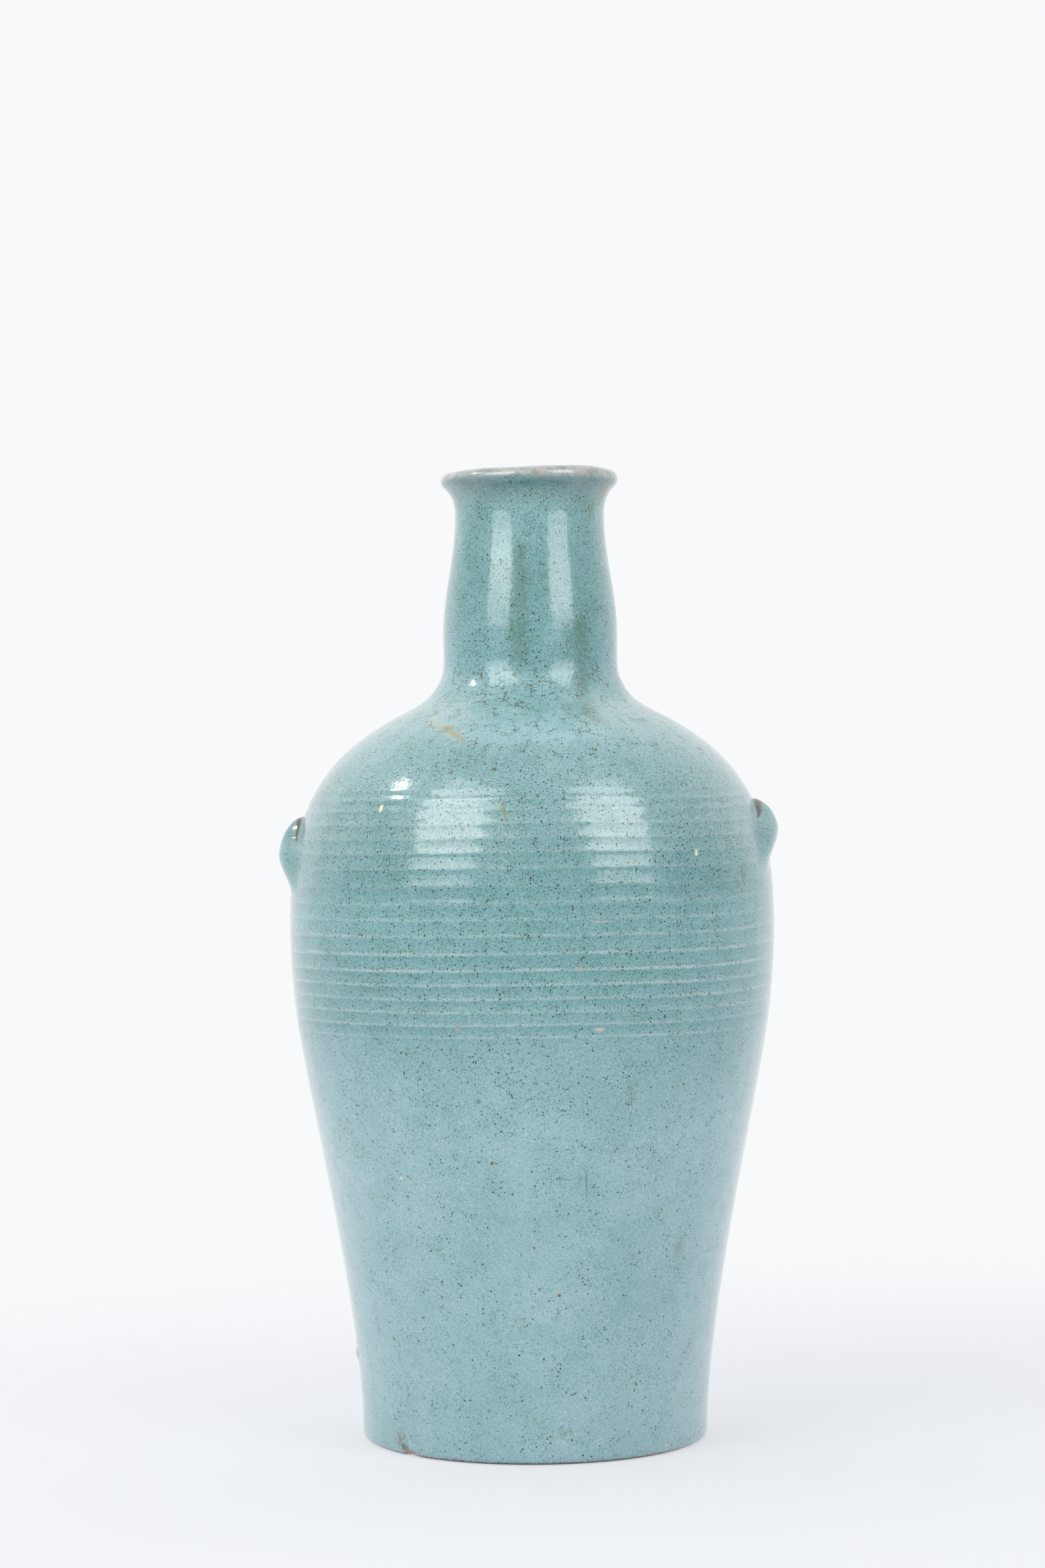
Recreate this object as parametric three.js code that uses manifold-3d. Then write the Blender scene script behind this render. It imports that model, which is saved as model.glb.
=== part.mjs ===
// A thrown and glazed earthenware liquor bottle, built up as a potter builds it: a lower body, a ringed
// upper body and a lipped neck, luted together with slip, and two pinched lugs pressed onto the shoulder.
// Millimetres, +Z up. The origin is the centre of the foot, on the surface that the bottle stands on.
import * as THREE from 'three';
import { mergeVertices } from 'three/addons/utils/BufferGeometryUtils.js';
import Module from 'manifold-3d';

const wasm = await Module();
wasm.setup();

// Outline of the outer wall, from the foot up. A rise is the height of one stretch of the outline, a flare is
// the radius that the wall gains per millimetre of height at the end of a stretch, and a setback is how far
// the wall stands in from the wider place next to it: the belly, the collar or the lip.
const FOOT_RADIUS = 58.9;
const FOOT_CORNER = 2.5;
const LOWER_WALL_RISE = 133.5;
const JOINT_SETBACK = 3.35;
const JOINT_FLARE = 0.17;
const BELLY_RISE = 39.5;
const BELLY_RADIUS = 82.85;
const SHOULDER_RISE = 71.2;
const SHOULDER_RADIUS = 43;
const SHOULDER_FLARE = -2;
const COLLAR_RISE = 10;
const COLLAR_RADIUS = 31.5;
const COLLAR_FLARE = -0.5;
const NECK_SWELL_RISE = 15.3;
const NECK_SETBACK = 1.6;
const NECK_TAPER_RISE = 41;
const NECK_WAIST_RADIUS = 25.6;
const LIP_FLARE_RISE = 12;
const LIP_RADIUS = 30.4;
const LIP_CROWN_RISE = 3;
const LIP_CROWN_SETBACK = 3.4;

// Fullness of each stretch: the lengths of its two curve handles, as shares of the stretch's own chord.
const LOWER_WALL_FULLNESS = [0.27, 0.24];
const BELLY_FULLNESS = [0.31, 0.35];
const SHOULDER_FULLNESS = [0.47, 0.4];
const COLLAR_FULLNESS = [0.45, 0.35];
const NECK_SWELL_FULLNESS = [0.24, 0.4];
const NECK_TAPER_FULLNESS = [0.36, 0.36];
const LIP_FLARE_FULLNESS = [0.72, 0.26];
const MOUTH_FULLNESS = [0.5, 0.25];

// Thickness of the clay. The thrown wall thins evenly from the foot to the lip.
const FLOOR_THICKNESS = 9;
const FLOOR_FILLET = 12;
const WALL_AT_FOOT = 7.5;
const WALL_AT_LIP = 5;
const LUTE_THICKNESS = 1;

// Throwing rings on the upper body: the pitch and the ringed length are measured along the wall.
const RING_PITCH = 5;
const RING_RELIEF = 0.4;
const RINGED_LENGTH = 90;

// Lugs: pinched ears with a slit behind the top edge and a narrow tail, one on each side, turned a little
// to the front. A lug's rise is from the belly to its point of full reach.
const LUG_TAIL_DROP = 16.5;
const LUG_TOP_RISE = 10.5;
const LUG_REACH = 6;
const LUG_WIDTH = 13;
const LUG_TAIL_WIDTH = 5;
const LUG_ROUNDING = 2.4;
const LUG_SLIT_WIDTH = 1.6;
const LUG_SLIT_DEPTH = 7;
const LUG_LUTE_GAP = 0.3;
const LUG_FULLNESS = 0.55;
const LEFT_LUG_RISE = 24;
const RIGHT_LUG_RISE = 31.5;
const LEFT_LUG_TURN = THREE.MathUtils.degToRad(10);
const RIGHT_LUG_TURN = THREE.MathUtils.degToRad(15);

// Facets and steps of the surfaces.
const SEGMENTS = 48;
const WALL_STEPS = 8;
const DOME_STEPS = 10;
const NECK_STEPS = 5;
const CORNER_STEPS = 3;
const SEARCH_TOLERANCE = 1e-6;

const GLAZE = { color: 0x84b3b6, roughness: 0.22, metalness: 0 };
const SLIP = { color: 0xa9735a, roughness: 0.9, metalness: 0 };

// A knot of the outline: a radius, a height and the flare there.
const knot = (r, z, flare = 0) => ({ r, z, flare });
const above = (k, rise) => knot(k.r + k.flare * rise, k.z + rise, k.flare);

const foot = knot(FOOT_RADIUS, FOOT_CORNER);
const lowerRim = knot(BELLY_RADIUS - JOINT_SETBACK, foot.z + LOWER_WALL_RISE, JOINT_FLARE);
const upperFoot = above(lowerRim, LUTE_THICKNESS);
const belly = knot(BELLY_RADIUS, upperFoot.z + BELLY_RISE);
const shoulder = knot(SHOULDER_RADIUS, belly.z + SHOULDER_RISE, SHOULDER_FLARE);
const collar = knot(COLLAR_RADIUS, shoulder.z + COLLAR_RISE, COLLAR_FLARE);
const neckFoot = above(collar, LUTE_THICKNESS);
const swell = knot(COLLAR_RADIUS - NECK_SETBACK, neckFoot.z + NECK_SWELL_RISE);
const waist = knot(NECK_WAIST_RADIUS, swell.z + NECK_TAPER_RISE);
const lip = knot(LIP_RADIUS, waist.z + LIP_FLARE_RISE);
const crown = knot(LIP_RADIUS - LIP_CROWN_SETBACK, lip.z + LIP_CROWN_RISE);

// The smooth stretch of outline between two knots, leaving each along its flare.
function stretch(from, to, fullness) {
  const start = new THREE.Vector2(from.r, from.z);
  const end = new THREE.Vector2(to.r, to.z);
  const chord = start.distanceTo(end);
  const heading = (k) => new THREE.Vector2(k.flare, 1).normalize();
  const leave = start.clone().addScaledVector(heading(from), fullness[0] * chord);
  const arrive = end.clone().addScaledVector(heading(to), -fullness[1] * chord);
  return new THREE.CubicBezierCurve(start, leave, arrive, end);
}

const lowerWall = stretch(foot, lowerRim, LOWER_WALL_FULLNESS);
const bellyWall = stretch(upperFoot, belly, BELLY_FULLNESS);
const dome = stretch(belly, shoulder, SHOULDER_FULLNESS);
const collarWall = stretch(shoulder, collar, COLLAR_FULLNESS);
const neckSwell = stretch(neckFoot, swell, NECK_SWELL_FULLNESS);
const neckTaper = stretch(swell, waist, NECK_TAPER_FULLNESS);
const lipFlare = stretch(waist, lip, LIP_FLARE_FULLNESS);

// The inner face lies the wall's thickness inside the outer one, measured square to the wall.
const wallAt = (z) => THREE.MathUtils.lerp(WALL_AT_FOOT, WALL_AT_LIP, z / crown.z);

function innerPoint(curve, t) {
  const p = curve.getPoint(t);
  const tangent = curve.getTangent(t);
  return new THREE.Vector2(p.x - wallAt(p.y) / tangent.y, p.y);
}

// The inner face along a stretch, from its top end down to its bottom end.
function innerFace(curve, steps) {
  return Array.from({ length: steps + 1 }, (_, i) => innerPoint(curve, 1 - i / steps));
}

// A turned solid from its section: points of radius and height, outer face upwards first.
function revolve(section, phase = 0) {
  return new THREE.LatheGeometry(section, SEGMENTS, phase).rotateX(Math.PI / 2);
}

// Points along a quarter of an ellipse about a centre, from one angle to another.
function quarter(centre, radii, from, to) {
  return new THREE.EllipseCurve(...centre, ...radii, from, to).getPoints(CORNER_STEPS);
}

// Lower body: flat foot, smooth wall up to the joint under the belly, and the floor inside.
function lowerBodySection() {
  const footEdge = [FOOT_RADIUS - FOOT_CORNER, FOOT_CORNER];
  const inner = innerFace(lowerWall, WALL_STEPS);
  const filletTop = FLOOR_THICKNESS + FLOOR_FILLET;
  const clearWall = inner.filter((p) => p.y > filletTop);
  const wallFoot = clearWall.at(-1);
  const fillet = new THREE.QuadraticBezierCurve(
    wallFoot,
    new THREE.Vector2(innerPoint(lowerWall, 0).x, FLOOR_THICKNESS),
    new THREE.Vector2(innerPoint(lowerWall, 0).x - FLOOR_FILLET, FLOOR_THICKNESS),
  );
  return [
    new THREE.Vector2(0, 0),
    ...quarter(footEdge, [FOOT_CORNER, FOOT_CORNER], -Math.PI / 2, 0),
    ...lowerWall.getPoints(WALL_STEPS).slice(1),
    ...clearWall,
    ...fillet.getPoints(CORNER_STEPS).slice(1),
    new THREE.Vector2(0, FLOOR_THICKNESS),
  ];
}

// Upper body: the outer face carries the throwing rings from the joint up over the belly, then runs
// smooth over the shoulder to the collar under the neck.
function ringedFace() {
  const wall = new THREE.CurvePath();
  [bellyWall, dome, collarWall].forEach((curve) => wall.add(curve));
  const length = wall.getLength();
  const rings = Math.round(RINGED_LENGTH / RING_PITCH);
  const ringed = rings * RING_PITCH;
  const face = [];
  for (let half = 0; half < 2 * rings; half++) {
    const along = (half * RING_PITCH) / 2 / length;
    const p = wall.getPointAt(along);
    const tangent = wall.getTangentAt(along);
    const relief = half % 2 ? RING_RELIEF : 0;
    face.push(new THREE.Vector2(p.x + tangent.y * relief, p.y - tangent.x * relief));
  }
  for (let step = 0; step <= DOME_STEPS; step++) {
    face.push(wall.getPointAt(THREE.MathUtils.lerp(ringed, length, step / DOME_STEPS) / length));
  }
  return face;
}

function upperBodySection() {
  const section = [
    ...ringedFace(),
    ...innerFace(collarWall, CORNER_STEPS),
    ...innerFace(dome, DOME_STEPS).slice(1),
    ...innerFace(bellyWall, CORNER_STEPS).slice(1),
  ];
  return [...section, section[0]];
}

// Neck: swells a little above the joint, tapers to a waist and flares into a rolled lip.
function neckSection() {
  const roll = quarter([crown.r, lip.z], [LIP_CROWN_SETBACK, LIP_CROWN_RISE], 0, Math.PI / 2);
  const bore = innerPoint(neckTaper, 1);
  const mouth = new THREE.CubicBezierCurve(
    new THREE.Vector2(crown.r, crown.z),
    new THREE.Vector2(THREE.MathUtils.lerp(crown.r, bore.x, MOUTH_FULLNESS[0]), crown.z),
    new THREE.Vector2(bore.x, THREE.MathUtils.lerp(bore.y, crown.z, MOUTH_FULLNESS[1])),
    bore,
  );
  const section = [
    ...neckSwell.getPoints(NECK_STEPS),
    ...neckTaper.getPoints(NECK_STEPS).slice(1),
    ...lipFlare.getPoints(NECK_STEPS).slice(1),
    ...roll.slice(1),
    ...mouth.getPoints(NECK_STEPS).slice(1),
    ...innerFace(neckTaper, NECK_STEPS).slice(1),
    ...innerFace(neckSwell, CORNER_STEPS).slice(1),
  ];
  return [...section, section[0]];
}

// The ring of slip that fills a joint between two flat rims, flush with the wall on both faces.
function luteSection(below, over) {
  const inner = (k) => new THREE.Vector2(k.r - wallAt(k.z) * Math.hypot(1, k.flare), k.z);
  const outer = (k) => new THREE.Vector2(k.r, k.z);
  return [outer(below), outer(over), inner(over), inner(below), outer(below)];
}

// A closed geometry as a solid for cutting, and back.
function solid(geometry) {
  const bare = geometry.clone();
  bare.deleteAttribute('normal');
  bare.deleteAttribute('uv');
  const merged = mergeVertices(bare);
  return new wasm.Manifold(new wasm.Mesh({
    numProp: 3,
    vertProperties: merged.attributes.position.array,
    triVerts: new Uint32Array(merged.index.array),
  }));
}

function geometryOf(cut) {
  const mesh = cut.getMesh();
  const geometry = new THREE.BufferGeometry();
  geometry.setAttribute('position', new THREE.BufferAttribute(mesh.vertProperties, 3));
  geometry.setIndex(new THREE.BufferAttribute(mesh.triVerts, 1));
  return geometry;
}

// Outer radius of the upper body, rings left out, at a height on the belly wall or the dome.
function outerRadius(z) {
  const curve = z < belly.z ? bellyWall : dome;
  let low = 0;
  let high = 1;
  while (high - low > SEARCH_TOLERANCE) {
    const middle = (low + high) / 2;
    if (curve.getPoint(middle).y < z) low = middle;
    else high = middle;
  }
  return curve.getPoint(low).x;
}

// The space that a lug keeps clear: the ringed wall with a lute gap, and the slit above the slit's floor.
function lugSeat(tail, top, turn) {
  const slitFloor = top - LUG_SLIT_DEPTH;
  const heights = (from, to, steps) =>
    Array.from({ length: steps + 1 }, (_, i) => THREE.MathUtils.lerp(from, to, i / steps));
  const seat = (z, clearance) => new THREE.Vector2(outerRadius(z) + RING_RELIEF + clearance, z);
  const section = [
    ...heights(tail - LUG_REACH, slitFloor, WALL_STEPS).map((z) => seat(z, LUG_LUTE_GAP)),
    ...heights(slitFloor, top + LUG_REACH, CORNER_STEPS).map((z) => seat(z, LUG_SLIT_WIDTH)),
  ];
  const axis = (p) => new THREE.Vector2(0, p.y);
  return revolve([axis(section[0]), ...section, axis(section.at(-1))], -turn);
}

// A lug in its own frame: X points out of the wall, Z up, and the ear is as wide as Y. The ear is pressed
// out of a slab, drawn in towards its tail, and then fitted to the wall.
function lugGeometry(rise, turn) {
  const peak = belly.z + rise;
  const tail = peak - LUG_TAIL_DROP;
  const top = peak + LUG_TOP_RISE;
  const reach = outerRadius(peak) + LUG_REACH - LUG_ROUNDING;
  const tailRoot = outerRadius(tail) - LUG_ROUNDING;
  const topRoot = outerRadius(top) - LUG_ROUNDING;
  const ear = new THREE.Shape();
  ear.moveTo(tailRoot - LUG_REACH, tail + LUG_ROUNDING);
  ear.lineTo(tailRoot, tail + LUG_ROUNDING);
  ear.quadraticCurveTo(reach, peak - LUG_FULLNESS * LUG_TAIL_DROP, reach, peak);
  ear.quadraticCurveTo(reach, top - LUG_ROUNDING, topRoot, top - LUG_ROUNDING);
  ear.lineTo(topRoot - LUG_REACH, top - LUG_ROUNDING);
  const slab = new THREE.ExtrudeGeometry(ear, {
    depth: LUG_WIDTH - 2 * LUG_ROUNDING,
    bevelThickness: LUG_ROUNDING,
    bevelSize: LUG_ROUNDING,
    bevelSegments: CORNER_STEPS,
    curveSegments: WALL_STEPS,
  });
  slab.translate(0, 0, LUG_ROUNDING - LUG_WIDTH / 2).rotateX(Math.PI / 2);
  const position = slab.attributes.position;
  for (let i = 0; i < position.count; i++) {
    const upward = THREE.MathUtils.smoothstep(position.getZ(i), tail, top);
    position.setY(i, position.getY(i) * THREE.MathUtils.lerp(LUG_TAIL_WIDTH / LUG_WIDTH, 1, upward));
  }
  return geometryOf(solid(slab).subtract(solid(lugSeat(tail, top, turn))));
}

function piece(name, geometry, finish) {
  const mesh = new THREE.Mesh(geometry, new THREE.MeshStandardMaterial(finish));
  mesh.name = name;
  return mesh;
}

// A lug on its side of the shoulder, turned about the bottle's axis.
function lug(name, rise, turn) {
  const mesh = piece(name, lugGeometry(rise, turn), GLAZE);
  mesh.rotation.z = turn;
  return mesh;
}

const bottle = new THREE.Group();
bottle.add(
  piece('lower_body', revolve(lowerBodySection()), GLAZE),
  piece('belly_lute', revolve(luteSection(lowerRim, upperFoot)), SLIP),
  piece('upper_body', revolve(upperBodySection()), GLAZE),
  piece('neck_lute', revolve(luteSection(collar, neckFoot)), SLIP),
  piece('neck', revolve(neckSection()), GLAZE),
  lug('left_lug', LEFT_LUG_RISE, Math.PI + LEFT_LUG_TURN),
  lug('right_lug', RIGHT_LUG_RISE, -RIGHT_LUG_TURN),
);

export default bottle;
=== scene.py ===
import math
from typing import NamedTuple

import bpy
import numpy as np
from mathutils import Matrix, Vector


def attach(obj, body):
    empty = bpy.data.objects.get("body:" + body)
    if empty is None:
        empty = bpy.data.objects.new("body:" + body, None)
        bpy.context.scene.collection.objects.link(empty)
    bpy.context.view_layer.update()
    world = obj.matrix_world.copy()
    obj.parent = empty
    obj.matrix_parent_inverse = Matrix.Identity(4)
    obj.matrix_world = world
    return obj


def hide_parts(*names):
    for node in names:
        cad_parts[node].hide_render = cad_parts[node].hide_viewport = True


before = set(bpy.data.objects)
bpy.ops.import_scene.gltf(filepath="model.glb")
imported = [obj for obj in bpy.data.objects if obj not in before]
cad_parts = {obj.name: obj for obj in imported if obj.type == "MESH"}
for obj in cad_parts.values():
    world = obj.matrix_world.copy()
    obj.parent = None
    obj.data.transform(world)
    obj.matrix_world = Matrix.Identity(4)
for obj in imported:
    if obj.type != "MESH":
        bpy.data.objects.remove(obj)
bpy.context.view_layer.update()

# A glazed earthenware bottle, dressed around the CAD frame. Its lengths are in millimetres until a mesh is
# made, and those of the studio and the camera are in metres.
MM = 0.001
SEED = 7
rng = np.random.default_rng(SEED)

# Outline of the outer wall, from the foot up, with the driving dimensions of the CAD part.
FOOT_RADIUS = 58.9
FOOT_CORNER = 2.5
LOWER_WALL_RISE = 133.5
JOINT_SETBACK = 3.35
JOINT_FLARE = 0.17
BELLY_RISE = 39.5
BELLY_RADIUS = 82.85
SHOULDER_RISE = 71.2
SHOULDER_RADIUS = 43.0
SHOULDER_FLARE = -2.0
COLLAR_RISE = 10.0
COLLAR_RADIUS = 31.5
COLLAR_FLARE = -0.5
NECK_SWELL_RISE = 15.3
NECK_SETBACK = 1.6
NECK_TAPER_RISE = 41.0
NECK_WAIST_RADIUS = 25.6
LIP_FLARE_RISE = 12.0
LIP_RADIUS = 30.4
LIP_CROWN_RISE = 3.0
LIP_CROWN_SETBACK = 3.4
LUTE_THICKNESS = 1.0

# Fullness of each stretch: the lengths of its two curve handles, as shares of its chord.
LOWER_WALL_FULLNESS = (0.27, 0.24)
BELLY_FULLNESS = (0.31, 0.35)
SHOULDER_FULLNESS = (0.47, 0.40)
COLLAR_FULLNESS = (0.45, 0.35)
NECK_SWELL_FULLNESS = (0.24, 0.40)
NECK_TAPER_FULLNESS = (0.36, 0.36)
LIP_FLARE_FULLNESS = (0.72, 0.26)
MOUTH_FULLNESS = (0.5, 0.25)

# Thickness of the clay, which thins evenly from the foot to the lip.
FLOOR_THICKNESS = 9.0
FLOOR_FILLET = 12.0
WALL_AT_FOOT = 7.5
WALL_AT_LIP = 5.0

# Steps of the meshes: columns round the axis, and rows along the wall in millimetres.
COLUMNS = 384
ROLL_ROW = 0.4
RING_ROW = 0.5
FINE_ROW = 0.8
WALL_ROW = 1.6
HIDDEN_ROW = 5.0
CURVE_POINTS = 600


class Knot(NamedTuple):
    """A point of the outline: its radius, its height and the radius gained per millimetre of height."""
    r: float
    z: float
    flare: float = 0.0

    def above(self, rise):
        return Knot(self.r + self.flare * rise, self.z + rise, self.flare)


FOOT = Knot(FOOT_RADIUS, FOOT_CORNER)
LOWER_RIM = Knot(BELLY_RADIUS - JOINT_SETBACK, FOOT.z + LOWER_WALL_RISE, JOINT_FLARE)
UPPER_FOOT = LOWER_RIM.above(LUTE_THICKNESS)
BELLY = Knot(BELLY_RADIUS, UPPER_FOOT.z + BELLY_RISE)
SHOULDER = Knot(SHOULDER_RADIUS, BELLY.z + SHOULDER_RISE, SHOULDER_FLARE)
COLLAR = Knot(COLLAR_RADIUS, SHOULDER.z + COLLAR_RISE, COLLAR_FLARE)
NECK_FOOT = COLLAR.above(LUTE_THICKNESS)
SWELL = Knot(COLLAR_RADIUS - NECK_SETBACK, NECK_FOOT.z + NECK_SWELL_RISE)
WAIST = Knot(NECK_WAIST_RADIUS, SWELL.z + NECK_TAPER_RISE)
LIP = Knot(LIP_RADIUS, WAIST.z + LIP_FLARE_RISE)
CROWN = Knot(LIP_RADIUS - LIP_CROWN_SETBACK, LIP.z + LIP_CROWN_RISE)


def smoothstep(low, high, value):
    """A smooth change from 0 at one limit to 1 at the other."""
    share = np.clip((value - low) / (high - low), 0.0, 1.0)
    return share * share * (3.0 - 2.0 * share)


def fade_about(value, origin, limits):
    """The same between limits that are measured from an origin."""
    return smoothstep(origin + limits[0], origin + limits[1], value)


def smootherstep(share):
    """A softer change from 0 to 1."""
    return share**3 * (10.0 - 15.0 * share + 6.0 * share**2)


def line(start, end):
    return np.linspace(start, end, CURVE_POINTS)


def bezier(p0, p1, p2, p3):
    """A curve from p0 to p3, with p1 and p2 as its handles."""
    t = np.linspace(0.0, 1.0, CURVE_POINTS)[:, None]
    u = 1.0 - t
    return u**3 * p0 + 3 * u**2 * t * p1 + 3 * u * t**2 * p2 + t**3 * p3


def arc(centre, radii, start, end):
    """A part of an ellipse between two angles."""
    angle = np.linspace(start, end, CURVE_POINTS)
    return np.stack([centre[0] + radii[0] * np.cos(angle), centre[1] + radii[1] * np.sin(angle)], axis=1)


def stretch(start, end, fullness):
    """The smooth outline between two knots, leaving each along its flare."""
    p0 = np.array(start[:2])
    p3 = np.array(end[:2])
    chord = np.linalg.norm(p3 - p0)
    leave = np.array([start.flare, 1.0]) / math.hypot(start.flare, 1.0)
    arrive = np.array([end.flare, 1.0]) / math.hypot(end.flare, 1.0)
    return bezier(p0, p0 + leave * fullness[0] * chord, p3 - arrive * fullness[1] * chord, p3)


def inner_face(points):
    """The inner face behind a stretch of the outer one, from its top down."""
    tangent = np.gradient(points, axis=0)
    slope = np.linalg.norm(tangent, axis=1) / tangent[:, 1]
    thickness = WALL_AT_FOOT + (WALL_AT_LIP - WALL_AT_FOOT) * points[:, 1] / CROWN.z
    return np.stack([points[:, 0] - thickness * slope, points[:, 1]], axis=1)[::-1]


def length_along(points):
    """Length of a polyline up to each of its points."""
    return np.concatenate([[0.0], np.cumsum(np.linalg.norm(np.diff(points, axis=0), axis=1))])


def resample(points, step):
    """The same polyline with evenly spaced points, about a step apart."""
    along = length_along(points)
    count = max(2, math.ceil(along[-1] / step) + 1)
    even = np.linspace(0.0, along[-1], count)
    return np.stack([np.interp(even, along, points[:, k]) for k in (0, 1)], axis=1)


# The stretches of the wall up to the waist of the neck, with the steps of their rows outside and inside.
WALL = [
    ("lower_wall", stretch(FOOT, LOWER_RIM, LOWER_WALL_FULLNESS), WALL_ROW, HIDDEN_ROW),
    ("belly_lute", line(LOWER_RIM[:2], UPPER_FOOT[:2]), FINE_ROW, HIDDEN_ROW),
    ("belly_wall", stretch(UPPER_FOOT, BELLY, BELLY_FULLNESS), RING_ROW, HIDDEN_ROW),
    ("dome", stretch(BELLY, SHOULDER, SHOULDER_FULLNESS), RING_ROW, HIDDEN_ROW),
    ("collar_wall", stretch(SHOULDER, COLLAR, COLLAR_FULLNESS), FINE_ROW, WALL_ROW),
    ("neck_lute", line(COLLAR[:2], NECK_FOOT[:2]), FINE_ROW, WALL_ROW),
    ("neck_swell", stretch(NECK_FOOT, SWELL, NECK_SWELL_FULLNESS), FINE_ROW, WALL_ROW),
    ("neck_taper", stretch(SWELL, WAIST, NECK_TAPER_FULLNESS), FINE_ROW, WALL_ROW),
]
INNER_WALL = [("inner_" + name, inner_face(points), step) for name, points, _, step in WALL[::-1]]


def mouth_curve():
    """The rounded way in from the crown of the lip down to the bore."""
    bore = INNER_WALL[0][1][0]
    crown = np.array(CROWN[:2])
    over = np.array([crown[0] + MOUTH_FULLNESS[0] * (bore[0] - crown[0]), crown[1]])
    down = np.array([bore[0], bore[1] + MOUTH_FULLNESS[1] * (crown[1] - bore[1])])
    return bezier(crown, over, down, bore)


def floor_curve():
    """The inner wall's foot, the fillet and the floor, in to the axis."""
    wall = INNER_WALL[-1][1]
    clear = wall[wall[:, 1] > FLOOR_THICKNESS + FLOOR_FILLET]
    corner = np.array([wall[-1, 0], FLOOR_THICKNESS])
    end = corner - np.array([FLOOR_FILLET, 0.0])
    fillet = bezier(clear[-1], clear[-1] / 3 + corner * 2 / 3, end / 3 + corner * 2 / 3, end)
    return np.concatenate([clear, fillet[1:], line(end, (0.0, FLOOR_THICKNESS))[1:]])


# The bottle's section as one path of stretches: from the foot's centre up the outer wall, over the lip and
# down the inner wall to the floor's centre.
CORNER_CENTRE = (FOOT_RADIUS - FOOT_CORNER, FOOT_CORNER)
SECTION = [
    ("base", line((0.0, 0.0), (CORNER_CENTRE[0], 0.0)), WALL_ROW),
    ("corner", arc(CORNER_CENTRE, (FOOT_CORNER, FOOT_CORNER), -math.pi / 2, 0.0), FINE_ROW),
    *[part[:3] for part in WALL],
    ("lip_flare", stretch(WAIST, LIP, LIP_FLARE_FULLNESS), FINE_ROW),
    ("roll", arc((CROWN.r, LIP.z), (LIP_CROWN_SETBACK, LIP_CROWN_RISE), 0.0, math.pi / 2), ROLL_ROW),
    ("mouth", mouth_curve(), FINE_ROW),
    *INNER_WALL[:-1],
    ("floor", floor_curve(), HIDDEN_ROW),
]

# The rows of all stretches, and the number of the row where each of them starts.
rows = []
row_of = {}
for part_name, part_points, part_step in SECTION:
    row_of[part_name] = max(0, len(rows) - 1)
    rows.extend(resample(part_points, part_step)[1 if rows else 0:])
rows = np.array(rows)
row_of["end"] = len(rows) - 1
row_r, row_z = rows[:, 0], rows[:, 1]
row_tangent = np.gradient(rows, axis=0)
row_tangent /= np.linalg.norm(row_tangent, axis=1)[:, None]
row_along = length_along(rows)
OUTER_ROWS = slice(row_of["corner"], row_of["roll"])
theta = np.linspace(0.0, 2 * math.pi, COLUMNS, endpoint=False)

# Throwing rings: one spiral of narrow crests from the joint up over the belly. The pitch is widest at the
# middle of the ringed wall and drifts from turn to turn. The crests fade out at both ends and stand out more
# on the dome. The ringed wall is a little hollow, between lengths measured along it from the belly's joint.
RING_TURNS = 18
RING_TURN_STEP = 0.25
RING_START = 1.85
RING_PITCH_END = 3.7
RING_PITCH_SWELL = 1.8
RING_PITCH_DRIFT = 0.5
RING_STRENGTHS = (0.6, 1.2)
RING_RELIEF = 0.13
RING_CREST_WIDTH = 1.0
RING_DOME_GAIN = 0.6
RING_DOME_FADE = (186.0, 204.0)
RING_FADE_IN = 1.2
RING_FADE_OUT = 2.0
RING_SWAY = [(3, 0.25, 0.7), (5, 0.18, 2.1)]
HOLLOW_DEPTH = 0.04
HOLLOW_BEGINS = (0.0, 12.0)
HOLLOW_ENDS = (83.0, 99.0)


def ring_spiral():
    """Turns of the spiral, and where along the wall its crest lies and how strong it is at each of them."""
    knots = np.arange(RING_TURNS + 3)
    turns = np.arange(0.0, RING_TURNS + 1.0 + RING_TURN_STEP, RING_TURN_STEP)
    middle = np.sin(math.pi * np.clip(turns / RING_TURNS, 0.0, 1.0))
    drift = np.interp(turns, knots, rng.normal(0.0, RING_PITCH_DRIFT, len(knots)))
    pitch = RING_PITCH_END + RING_PITCH_SWELL * middle + drift
    place = RING_START + np.concatenate([[0.0], np.cumsum(pitch[:-1] * np.diff(turns))])
    strength = np.interp(turns, knots, rng.uniform(*RING_STRENGTHS, len(knots)))
    fade_in = smoothstep(0.0, RING_FADE_IN, turns)
    fade_out = 1.0 - smoothstep(RING_TURNS - RING_FADE_OUT, RING_TURNS + 1.0, turns)
    return turns, place, strength * fade_in * fade_out


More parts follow.
